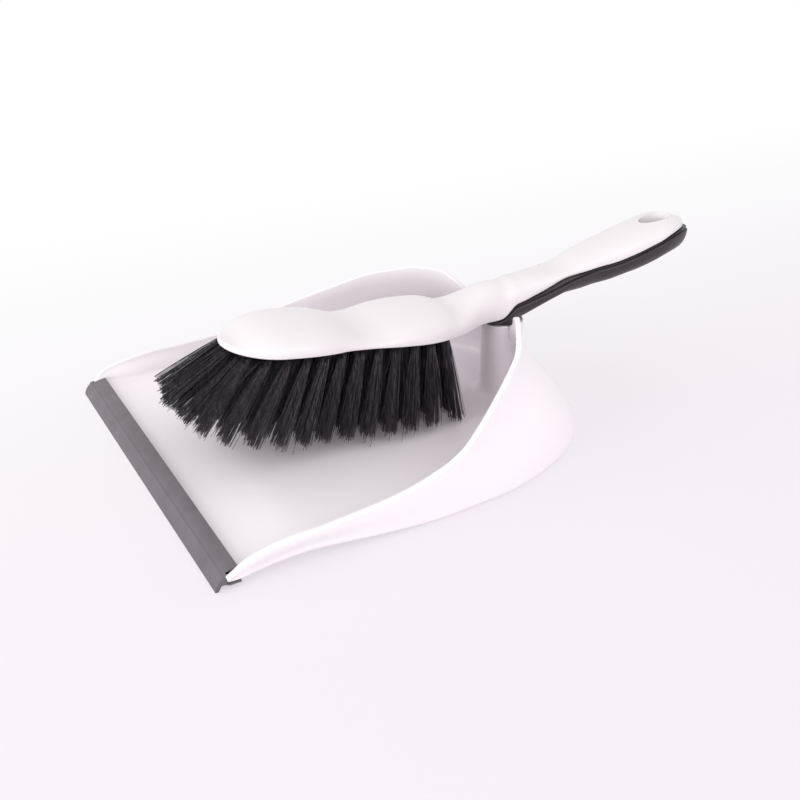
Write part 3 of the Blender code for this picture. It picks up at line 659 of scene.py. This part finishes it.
half_width = along_brush(
    [(a * BLOCK_LENGTH, b * BLOCK_WIDTH / 2) for a, b in block_plan_shares],
    [(a, b * GRIP_WIDTH / 2) for a, b in handle_plan_shares], SOFTENING,
)
parting = along_brush(
    [(0.0, 0.0), (BLOCK_LENGTH, 0.0)], [(a, b * GRIP_RISE) for a, b, c in handle_side_shares], SOFTENING / 2,
)
crown = along_brush(
    [(0.0, NOSE_EDGE), *((a * BLOCK_LENGTH, b * BLOCK_CROWN) for a, b in block_crown_shares)],
    [(a, c * GRIP_CROWN) for a, b, c in handle_side_shares], SOFTENING,
)
insert_depth = softened_curve(
    [(BLOCK_LENGTH + a * HANDLE_LENGTH, b * INSERT_DEPTH) for a, b in insert_depth_shares],
    BLOCK_LENGTH, BRUSH_LENGTH, SOFTENING,
)
insert_swell = softened_curve(
    [(BLOCK_LENGTH + a * HANDLE_LENGTH, b * INSERT_SWELL) for a, b in insert_swell_shares],
    BLOCK_LENGTH, BRUSH_LENGTH, SOFTENING,
)


def round_end(x, length):
    """1 away from an end, falling to 0 on a quarter ellipse over its last stretch."""
    inside = min(max(x / length, 0.0), 1.0)
    return math.sqrt(1 - (1 - inside) ** 2)


def swollen(half, height, power, steps):
    """Half a superellipse: (y, z) from -half over height to half."""
    points = []
    for k in range(steps + 1):
        turn = math.pi * k / steps
        side = math.copysign(abs(math.cos(turn)) ** (2 / power), math.cos(turn))
        lifted = math.sin(turn) ** (2 / power) if 0 < k < steps else 0.0
        points.append((-half * side, height * lifted))
    return points


def dome(half, low, height):
    """The block's section: a flat underside, small corner arcs and a swollen top."""
    edge = min(BODY_EDGE, half / 3, height / 3)
    points = [
        (y, low + edge + z) for y, z in swollen(half, height - edge, DOME_POWER_SHARE, DOME_STEPS)
    ]
    for end in (1, -1):
        for k in range(1, ARC_STEPS + 1):
            turn = math.pi / 2 * (k if end == 1 else ARC_STEPS - k) / ARC_STEPS
            points.append((end * (half - edge * (1 - math.cos(turn))), low + edge * (1 - math.sin(turn))))
    return points[:-1]


def grooved_belly(half, top, depth):
    """The insert's section: a groove under the white edge, a rounded ledge and a swollen belly."""
    deep = min(GROOVE_DEPTH, half / 3)
    high = min(GROOVE_HEIGHT, depth / 4)
    edge = min(INSERT_EDGE, half / 4, depth / 6)
    side = [(half - deep, top), (half - deep, top - high)]
    for k in range(ARC_STEPS):
        turn = math.pi / 2 * k / ARC_STEPS
        side.append((half - edge * (1 - math.sin(turn)), top - high - edge * (1 - math.cos(turn))))
    level = top - high - edge
    belly = swollen(half, level - (top - depth), BELLY_POWER_SHARE, BELLY_STEPS)
    return [*((-y, z) for y, z in side), *((y, level - z) for y, z in belly), *reversed(side)]


def body_rings(clearance):
    end = BRUSH_LENGTH - INSERT_END
    rings = []
    for k in range(BODY_STATIONS):
        share = (1 - math.cos(math.pi * k / (BODY_STATIONS - 1))) / 2
        x = GAP / 30 + (end - GAP / 15) * share
        nose, tail = round_end(x, NOSE_LENGTH), round_end(end - x, END_LENGTH)
        half = half_width(x) * nose * tail + clearance
        height = NOSE_EDGE + (crown(x) - NOSE_EDGE) * nose * (1 + tail) / 2 + 2 * clearance
        section = dome(half, parting(x) - clearance, height)
        rings.append([(x + clearance * (2 * share - 1), y, z) for y, z in section])
    return rings


def hanging_hole():
    """Cutter for the oval hole, wider at both mouths."""
    centre = BRUSH_LENGTH - HOLE_FROM_END
    top = parting(centre) + crown(centre)
    bottom = parting(centre) - insert_depth(centre)
    heights = [bottom - OVERRUN, bottom, bottom + 2 * HOLE_EDGE, top - 2 * HOLE_EDGE, top, top + OVERRUN]
    grown = [3 * HOLE_EDGE, HOLE_EDGE, 0.0, 0.0, HOLE_EDGE, 3 * HOLE_EDGE]
    turns = [2 * math.pi * k / HOLE_SIDES for k in range(HOLE_SIDES)]

    def build(bm):
        loft(bm, [
            [(centre + (HOLE_LENGTH / 2 + extra) * math.cos(turn),
              (HOLE_WIDTH / 2 + extra) * math.sin(turn), height) for turn in turns]
            for height, extra in zip(heights, grown)
        ])
    return mesh_from("hanging_hole", build)


def brush_top(material):
    mesh = mesh_from("brush_top", lambda bm: loft(bm, body_rings(0.0)))
    mesh = cut_and_joined(mesh, ("DIFFERENCE", hanging_hole()))
    made = new_object("brush_moulding", shaded(mesh, BRUSH_SHARP), material, brush_place, "brush")
    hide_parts("brush_body")
    return made


def insert_rings():
    start = BLOCK_LENGTH + insert_depth_shares[0][0] * HANDLE_LENGTH
    white_end = BRUSH_LENGTH - INSERT_END
    rings = []
    for k in range(INSERT_STATIONS):
        x = start + (BRUSH_LENGTH - GAP / 10 - start) * math.sin(math.pi / 2 * k / (INSERT_STATIONS - 1))
        tongue = smooth(tongue_plan_shares, (x - start) / TONGUE_LENGTH)
        rounding = round_end(BRUSH_LENGTH - x, END_LENGTH)
        swell = insert_swell(x)
        half = (half_width(x) + INSERT_PROUD + swell) * tongue * rounding
        low = parting(x) - GAP
        turned_up = max(0.0, (x - (white_end - END_LENGTH / 2)) / (END_LENGTH / 2 + INSERT_END))
        top = low + SWELL_RISE_SHARE * swell + INSERT_WRAP_RISE * min(turned_up, 1.0) ** 2
        seat = (x - PEG_X) * math.tan(STORED_PITCH) - SEAT_DROP
        depth = insert_depth(x) * (1 + round_end(BRUSH_LENGTH - x, END_LENGTH / 2)) / 2
        depth = min(depth, low - seat) + top - low
        rings.append([(x, y, z) for y, z in grooved_belly(half, top, depth)])
    return rings


def peg(bm):
    """The upright peg and its shoulder, about the lift axis."""
    low = -SEAT_DROP - PEG_LENGTH
    lathe(bm, (
        (PEG_RADIUS - PEG_BEVEL, low), (PEG_RADIUS, low + PEG_BEVEL), (PEG_RADIUS, -SEAT_DROP),
        (SHOULDER_RADIUS, -SEAT_DROP), (SHOULDER_RADIUS, -SEAT_DROP + SHOULDER_HEIGHT),
    ), 0.0)


def grip(material):
    mesh = mesh_from("grip", lambda bm: loft(bm, insert_rings()))
    peg_mesh = mesh_from("peg", peg)
    peg_mesh.transform(brush_place.inverted() @ lift_place)
    room = mesh_from("room", lambda bm: loft(bm, body_rings(GAP)))
    mesh = cut_and_joined(
        mesh, ("UNION", peg_mesh), ("DIFFERENCE", room), ("DIFFERENCE", hanging_hole())
    )
    made = new_object("grip", shaded(mesh, BRUSH_SHARP), material, brush_place, "brush")
    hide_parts("grip_insert")
    return made


# Bristles

def tuft_places(row):
    """Root centres of one row's tufts; the inner rows stand closer, and alternate by half a pitch."""
    across = 2 * (row + 0.5) / ROWS - 1
    first = PLATE_NOSE + FIRST_TUFT + NOSE_STEP * across ** 2
    last = BLOCK_LENGTH - PLATE_TAIL - 2 * TUFT_RADIUS
    if row in (0, ROWS - 1):
        pitch = (last - first) / (TUFTS_PER_ROW - 1)
        return [(first + pitch * k, across) for k in range(TUFTS_PER_ROW)]
    pitch = (last - first) / (INNER_TUFTS_PER_ROW - 0.5)
    return [(first + pitch * (k + 0.5 * (row % 2)), across) for k in range(INNER_TUFTS_PER_ROW)]


def plate_half(x):
    return half_width(x) * round_end(x, NOSE_LENGTH) - BLOCK_EDGE


def filament(x, y, out_x, out_y, radius, splayed, dice):
    """Points along one filament of a tuft, whose root has this radius and whose tip is splayed."""
    share = x / BLOCK_LENGTH
    half = plate_half(x)
    fan = [smooth([(row[0], row[k]) for row in fan_shares], share) for k in (1, 2, 3)]
    tilt = math.radians(fan[0] + fan[1] * (1 - (y / half) ** 2))
    splay = math.tan(math.radians(smooth(side_tilt_shares, share))) * 2 * y / BLOCK_WIDTH
    axis = Vector((-math.sin(tilt), splay * math.cos(tilt / 2), -math.cos(tilt))).normalized()
    length = BRISTLE_LENGTH * fan[2] + dice.gauss(0.0, LENGTH_SCATTER)
    root = Vector((x + radius * out_x, y + radius * out_y, 0.0))
    spread = Vector((out_x * math.cos(tilt), out_y, -out_x * math.sin(tilt))) * splayed
    tip = Vector((x, y, 0.0)) + axis * length + spread
    scatter = STRAY_BEND if dice.random() < STRAY_SHARE else BEND_SCATTER
    bend = Vector([dice.gauss(0.0, scatter) for _ in range(3)])
    tip += bend
    start = root - (tip - root).normalized() * FILAMENT_ROOT
    middle = (start + tip) / 2 + bend
    points = []
    for k in range(FILAMENT_SEGMENTS + 1):
        t = k / FILAMENT_SEGMENTS
        points.append((1 - t) ** 2 * start + 2 * t * (1 - t) * middle + t * t * tip)
    return points


def clears_floor(points):
    """Whether every point clears the dustpan's floor."""
    return min((brush_place @ point).z for point in points) > WALL + FLOOR_CLEARANCE


def add_filament(verts, faces, points):
    """A thin three-sided tube along points."""
    run = (points[-1] - points[0]).normalized()
    side = run.orthogonal().normalized()
    other = run.cross(side)
    start = len(verts)
    for k, point in enumerate(points):
        radius = FILAMENT_RADIUS * (1 - FILAMENT_TAPER_SHARE * k / FILAMENT_SEGMENTS)
        for corner in range(3):
            turn = 2 * math.pi * corner / 3
            verts.append(point + radius * (math.cos(turn) * side + math.sin(turn) * other))
    for k in range(FILAMENT_SEGMENTS):
        for corner in range(3):
            a = start + 3 * k + corner
            b = start + 3 * k + (corner + 1) % 3
            faces.append((a, b, b + 3, a + 3))
    faces.append((start + 2, start + 1, start))
    last = start + 3 * FILAMENT_SEGMENTS
    faces.append((last, last + 1, last + 2))


def bristle_row(row, material):
    """One lengthwise row of tufts; a filament that would reach the dustpan's floor is shortened."""
    dice = random.Random(row)
    outer = row in (0, ROWS - 1)
    radius, splayed = (OUTER_TUFT_RADIUS, OUTER_TUFT_SPREAD) if outer else (TUFT_RADIUS, TUFT_SPREAD)
    verts, faces = [], []
    for x, across in tuft_places(row):
        for k in range(FILAMENTS):
            distance = math.sqrt((k + 0.5) / FILAMENTS)
            turn = k * math.pi * (3 - math.sqrt(5)) + dice.uniform(-TURN_SCATTER, TURN_SCATTER)
            out_x, out_y = distance * math.cos(turn), distance * math.sin(turn)
            points = filament(x, plate_half(x) * across, out_x, out_y, radius, splayed, dice)
            while not clears_floor(points):
                points = [points[0].lerp(point, TRIM_SHARE) for point in points]
            add_filament(verts, faces, points)
    mesh = bpy.data.meshes.new("bristles")
    mesh.from_pydata(verts, [], faces)
    mesh.shade_smooth()
    made = new_object("bristles_" + str(row + 1), mesh, material, brush_place, "brush")
    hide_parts("bristle_row_" + str(row + 1))
    return made


# Materials: noise scales are in cells a metre, and swings are changes of roughness

NOISE_LOW = 0.25
NOISE_HIGH = 0.75
SMOOTH_DETAIL = 2.0
GRAIN_DETAIL = 3.0
MOTTLE_DETAIL = 5.0
FLOW_SCALE = 9.0
PLASTIC_GLOSS_SCALE = 40.0
PLASTIC_SWING = 0.02
RIPPLE_SCALE = 700.0
RIPPLE_DEPTH = 0.00002
RIPPLE_STRENGTH = 0.12
PLASTIC_IOR = 1.5
MOTTLE_SCALE = 90.0
RUBBER_GLOSS_SCALE = 300.0
RUBBER_SWING_DOWN = 0.05
RUBBER_SWING_UP = 0.06
GRAIN_SCALE = 2600.0
GRAIN_DEPTH = 0.00004
# Lighter streaks along the bristle filaments are painted highlights.
HIGHLIGHT_STREAK_SCALE = 900.0
HIGHLIGHT_STREAK_ALONG_SHARE = 0.04
HIGHLIGHT_STREAK_LOW = -0.6
HIGHLIGHT_STREAK_HIGH = 1.2
BRISTLE_GLOSS_SCALE = 180.0
BRISTLE_SWING_DOWN = 0.08
BRISTLE_SWING_UP = 0.1
WHITE = (1.0, 1.0, 1.0)


def shader_of(name, colour, roughness):
    """A material with a Principled shader, and that material's nodes and links."""
    material = bpy.data.materials.new(name)
    material.use_nodes = True
    nodes, links = material.node_tree.nodes, material.node_tree.links
    shader = nodes["Principled BSDF"]
    shader.inputs["Base Color"].default_value = (*colour, 1.0)
    shader.inputs["Roughness"].default_value = roughness
    return material, nodes, links, shader


def noise(nodes, links, scale, detail):
    """Noise in the object's own coordinates, at scale cells a metre."""
    place = nodes.new("ShaderNodeTexCoord")
    texture = nodes.new("ShaderNodeTexNoise")
    texture.inputs["Scale"].default_value = scale
    texture.inputs["Detail"].default_value = detail
    links.new(place.outputs["Object"], texture.inputs["Vector"])
    return texture.outputs["Fac"]


def spread(nodes, links, value, low, high):
    """value from its middle range to low..high."""
    ranged = nodes.new("ShaderNodeMapRange")
    ranged.inputs["From Min"].default_value = NOISE_LOW
    ranged.inputs["From Max"].default_value = NOISE_HIGH
    ranged.inputs["To Min"].default_value = low
    ranged.inputs["To Max"].default_value = high
    links.new(value, ranged.inputs["Value"])
    return ranged.outputs["Result"]


def tinted(nodes, links, value, first, second):
    """A colour between first and second."""
    mix = nodes.new("ShaderNodeMix")
    mix.data_type = "RGBA"
    mix.inputs["A"].default_value = (*first, 1.0)
    mix.inputs["B"].default_value = (*second, 1.0)
    links.new(value, mix.inputs["Factor"])
    return mix.outputs["Result"]


def bump(nodes, links, shader, height, distance, strength):
    """Fine relief on the shader's normal, distance deep."""
    made = nodes.new("ShaderNodeBump")
    made.inputs["Distance"].default_value = distance
    made.inputs["Strength"].default_value = strength
    links.new(height, made.inputs["Height"])
    links.new(made.outputs["Normal"], shader.inputs["Normal"])


def moulded_plastic(name, light, shade, roughness):
    """Smooth moulded plastic: faint flow tint, uneven gloss and a fine surface ripple."""
    material, nodes, links, shader = shader_of(name, light, roughness)
    flow = spread(nodes, links, noise(nodes, links, FLOW_SCALE, SMOOTH_DETAIL), 0.0, 1.0)
    links.new(tinted(nodes, links, flow, light, shade), shader.inputs["Base Color"])
    uneven = noise(nodes, links, PLASTIC_GLOSS_SCALE, SMOOTH_DETAIL)
    gloss = spread(nodes, links, uneven, roughness - PLASTIC_SWING, roughness + PLASTIC_SWING)
    links.new(gloss, shader.inputs["Roughness"])
    ripple = noise(nodes, links, RIPPLE_SCALE, SMOOTH_DETAIL)
    bump(nodes, links, shader, ripple, RIPPLE_DEPTH, RIPPLE_STRENGTH)
    shader.inputs["IOR"].default_value = PLASTIC_IOR
    return material


def soft_rubber(name, light, shade, roughness, grain):
    """Matt elastomer with a fine grain."""
    material, nodes, links, shader = shader_of(name, light, roughness)
    mottled = spread(nodes, links, noise(nodes, links, MOTTLE_SCALE, MOTTLE_DETAIL), 0.0, 1.0)
    links.new(tinted(nodes, links, mottled, light, shade), shader.inputs["Base Color"])
    uneven = noise(nodes, links, RUBBER_GLOSS_SCALE, GRAIN_DETAIL)
    gloss = spread(nodes, links, uneven, roughness - RUBBER_SWING_DOWN, roughness + RUBBER_SWING_UP)
    links.new(gloss, shader.inputs["Roughness"])
    bump(nodes, links, shader, noise(nodes, links, GRAIN_SCALE, GRAIN_DETAIL), GRAIN_DEPTH, grain)
    return material


def filament_plastic(name, dark, painted_highlight, roughness):
    """Glossy bristle filament; some filaments are lighter over their whole length, as painted highlights."""
    material, nodes, links, shader = shader_of(name, dark, roughness)
    place = nodes.new("ShaderNodeTexCoord")
    along = nodes.new("ShaderNodeMapping")
    along.inputs["Scale"].default_value = (1.0, 1.0, HIGHLIGHT_STREAK_ALONG_SHARE)
    links.new(place.outputs["Object"], along.inputs["Vector"])
    texture = nodes.new("ShaderNodeTexNoise")
    texture.inputs["Scale"].default_value = HIGHLIGHT_STREAK_SCALE
    links.new(along.outputs["Vector"], texture.inputs["Vector"])
    # Painted highlights: lighter streaks along some filaments, mixed into the base colour.
    painted_highlights = spread(nodes, links, texture.outputs["Fac"], HIGHLIGHT_STREAK_LOW, HIGHLIGHT_STREAK_HIGH)
    links.new(tinted(nodes, links, painted_highlights, dark, painted_highlight), shader.inputs["Base Color"])
    uneven = noise(nodes, links, BRISTLE_GLOSS_SCALE, SMOOTH_DETAIL)
    gloss = spread(nodes, links, uneven, roughness - BRISTLE_SWING_DOWN, roughness + BRISTLE_SWING_UP)
    links.new(gloss, shader.inputs["Roughness"])
    return material


# Studio

def floor_material():
    """Pale floor that takes shadows; the camera and glosses see it fade to white away from the object."""
    material, nodes, links, shader = shader_of("floor", FLOOR_COLOUR, FLOOR_ROUGHNESS)
    tone = spread(nodes, links, noise(nodes, links, FLOOR_TONE_SCALE, SMOOTH_DETAIL), 0.0, 1.0)
    links.new(tinted(nodes, links, tone, FLOOR_COLOUR, FLOOR_TONE), shader.inputs["Base Color"])
    shader.inputs["Specular IOR Level"].default_value = FLOOR_SPECULAR
    place = nodes.new("ShaderNodeTexCoord")
    axes = nodes.new("ShaderNodeSeparateXYZ")
    links.new(place.outputs["Object"], axes.inputs["Vector"])
    away = nodes.new("ShaderNodeMapRange")
    away.interpolation_type = "SMOOTHSTEP"
    away.inputs["From Min"].default_value = FADE_START
    away.inputs["From Max"].default_value = FADE_END
    links.new(axes.outputs["Y"], away.inputs["Value"])
    reach = nodes.new("ShaderNodeVectorMath")
    reach.operation = "LENGTH"
    links.new(place.outputs["Object"], reach.inputs[0])
    outward = nodes.new("ShaderNodeMapRange")
    outward.interpolation_type = "SMOOTHSTEP"
    outward.inputs["From Min"].default_value = FADE_INNER_RADIUS
    outward.inputs["From Max"].default_value = FADE_OUTER_RADIUS
    links.new(reach.outputs["Value"], outward.inputs["Value"])
    fade = nodes.new("ShaderNodeMath")
    fade.operation = "MAXIMUM"
    links.new(away.outputs["Result"], fade.inputs[0])
    links.new(outward.outputs["Result"], fade.inputs[1])
    glow = nodes.new("ShaderNodeEmission")
    links.new(tinted(nodes, links, fade.outputs["Value"], GLOW_NEAR, WHITE), glow.inputs["Color"])
    share = nodes.new("ShaderNodeMapRange")
    share.inputs["To Min"].default_value = GLOW_SHARE
    links.new(fade.outputs["Value"], share.inputs["Value"])
    seen = nodes.new("ShaderNodeMath")
    seen.operation = "MULTIPLY"
    links.new(share.outputs["Result"], seen.inputs[0])
    links.new(seen_directly(nodes, links), seen.inputs[1])
    mix = nodes.new("ShaderNodeMixShader")
    links.new(seen.outputs["Value"], mix.inputs["Fac"])
    links.new(shader.outputs["BSDF"], mix.inputs[1])
    links.new(glow.outputs["Emission"], mix.inputs[2])
    links.new(mix.outputs["Shader"], nodes["Material Output"].inputs["Surface"])
    return material


def seen_directly(nodes, links):
    """1 where the camera, a reflection or glass looks, else 0."""
    path = nodes.new("ShaderNodeLightPath")
    total = path.outputs["Is Camera Ray"]
    for kind in ("Is Glossy Ray", "Is Transmission Ray"):
        larger = nodes.new("ShaderNodeMath")
        larger.operation = "MAXIMUM"
        links.new(total, larger.inputs[0])
        links.new(path.outputs[kind], larger.inputs[1])
        total = larger.outputs["Value"]
    return total


def studio():
    """A flat floor, a white world that the camera sees at full strength, and the lamps."""
    floor_mesh = bpy.data.meshes.new("floor")
    corners = [
        (-FLOOR_REACH, -FLOOR_REACH, 0.0), (FLOOR_REACH, -FLOOR_REACH, 0.0),
        (FLOOR_REACH, FLOOR_REACH, 0.0), (-FLOOR_REACH, FLOOR_REACH, 0.0),
    ]
    floor_mesh.from_pydata(corners, [], [(0, 1, 2, 3)])
    floor = bpy.data.objects.new("floor", floor_mesh)
    bpy.context.scene.collection.objects.link(floor)
    floor_mesh.materials.append(floor_material())
    world = bpy.data.worlds.new("studio")
    bpy.context.scene.world = world
    world.use_nodes = True
    nodes, links = world.node_tree.nodes, world.node_tree.links
    background = nodes["Background"]
    strength = nodes.new("ShaderNodeMapRange")
    strength.inputs["To Min"].default_value = WORLD_STRENGTH
    strength.inputs["To Max"].default_value = 1.0
    links.new(seen_directly(nodes, links), strength.inputs["Value"])
    links.new(strength.outputs["Result"], background.inputs["Strength"])
    background.inputs["Color"].default_value = (*WHITE, 1.0)
    for name, place, size, power in LAMPS:
        softbox(name, place, size, power)


def softbox(name, place, size, power):
    """A square lamp that faces the object."""
    lamp = bpy.data.lights.new(name, "AREA")
    lamp.shape = "SQUARE"
    lamp.size = size
    lamp.energy = power
    obj = bpy.data.objects.new(name, lamp)
    bpy.context.scene.collection.objects.link(obj)
    obj.location = place
    obj.rotation_euler = (-Vector(place)).to_track_quat("-Z", "Y").to_euler()


def camera():
    """The photograph's camera, above the floor and to the lip's side."""
    data = bpy.data.cameras.new("camera")
    data.lens = CAMERA_LENS
    data.sensor_width = CAMERA_SENSOR
    obj = bpy.data.objects.new("camera", data)
    bpy.context.scene.collection.objects.link(obj)
    obj.location = CAMERA_PLACE
    obj.rotation_euler = (math.radians(90 - CAMERA_DOWN), 0.0, math.radians(-CAMERA_TURN))
    bpy.context.scene.camera = obj


# Camera: lens and sensor in millimetres, place in metres, angles in degrees
CAMERA_LENS = 54.0
CAMERA_SENSOR = 36.0
CAMERA_PLACE = (-0.2987, -0.5269, 0.3132)
CAMERA_DOWN = 26.967
CAMERA_TURN = 27.784

# Light and floor; each lamp has a name, a place, a size and a power in watts
WORLD_STRENGTH = 0.80
LAMPS = (
    ("front", (0.05, -1.40, 0.90), 1.3, 8.8),
    ("left", (-1.4, -0.20, 0.55), 1.0, 8.2),
    ("back", (-0.70, 0.50, 0.55), 0.5, 0.9),
)
FLOOR_REACH = 8.0
FLOOR_COLOUR = (0.88, 0.835, 0.88)
FLOOR_TONE = (0.89, 0.845, 0.89)
FLOOR_TONE_SCALE = 3.0
FLOOR_ROUGHNESS = 0.9
FLOOR_SPECULAR = 0.1
GLOW_NEAR = (0.86, 0.815, 0.865)
GLOW_SHARE = 0.55
FADE_START = -0.35
FADE_END = 0.45
FADE_INNER_RADIUS = 0.45
FADE_OUTER_RADIUS = 1.10

camera()
studio()
shell_plastic = moulded_plastic(
    "shell_plastic", light=(0.90, 0.845, 0.88), shade=(0.89, 0.835, 0.87), roughness=0.33
)
brush_plastic = moulded_plastic(
    "brush_plastic", light=(0.795, 0.75, 0.77), shade=(0.785, 0.74, 0.76), roughness=0.31
)
lip_rubber = soft_rubber(
    "lip_rubber", light=(0.145, 0.13, 0.145), shade=(0.11, 0.10, 0.11), roughness=0.5, grain=0.4
)
grip_rubber = soft_rubber(
    "grip_rubber", light=(0.024, 0.017, 0.022), shade=(0.018, 0.013, 0.017), roughness=0.42, grain=0.35
)
# The lighter streak colour paints highlights on the filaments.
bristle_plastic = filament_plastic(
    "bristle_plastic", dark=(0.002, 0.0017, 0.0021), painted_highlight=(0.085, 0.070, 0.088), roughness=0.34
)
dustpan(shell_plastic)
lip(lip_rubber)
brush_top(brush_plastic)
grip(grip_rubber)
for row_number in range(ROWS):
    bristle_row(row_number, bristle_plastic)

scene = bpy.context.scene
scene.view_settings.view_transform = "Standard"
